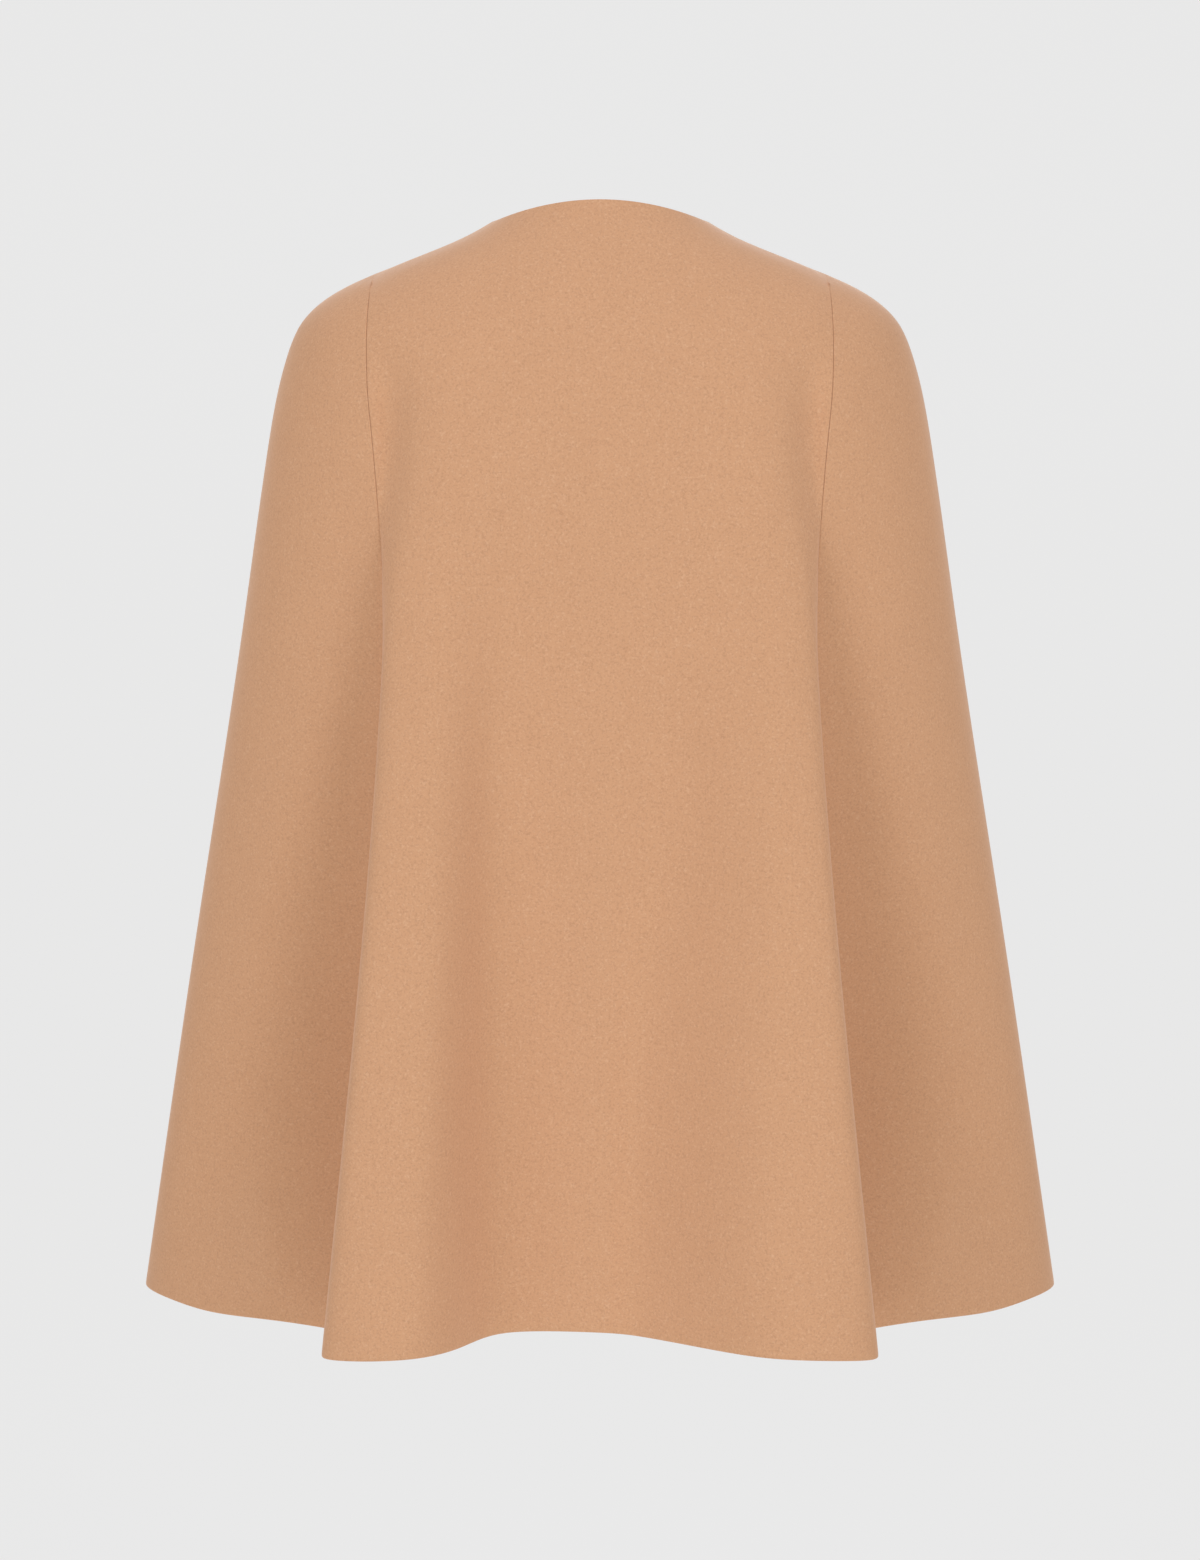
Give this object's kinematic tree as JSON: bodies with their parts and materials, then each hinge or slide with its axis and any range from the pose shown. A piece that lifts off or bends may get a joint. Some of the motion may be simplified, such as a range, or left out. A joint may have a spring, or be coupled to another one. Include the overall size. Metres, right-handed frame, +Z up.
{
  "type": "wool cape coat",
  "caption": "Collarless hip-length wool cape coat in its worn form, hollow, with panel seams from the shoulders, flared side panels and long cone folds.",
  "frame": {"origin": "centre of the neck opening, midway between and level with the neck ends of the two shoulder seams, where the wearer's neck and shoulders hold the coat", "axes": "+Z up along the wearer, wearer faces -Y, +X to the wearer's left"},
  "size_m": [0.679, 0.379, 0.8031],
  "materials": {
    "coating_cloth": "short napped camel wool coating"
  },
  "bodies": {
    "root": {"back": "coating_cloth", "side_back_left": "coating_cloth", "side_back_right": "coating_cloth", "side_front_left": "coating_cloth", "side_front_right": "coating_cloth", "front_left": "coating_cloth", "front_right": "coating_cloth"}
  },
  "joints": []
}
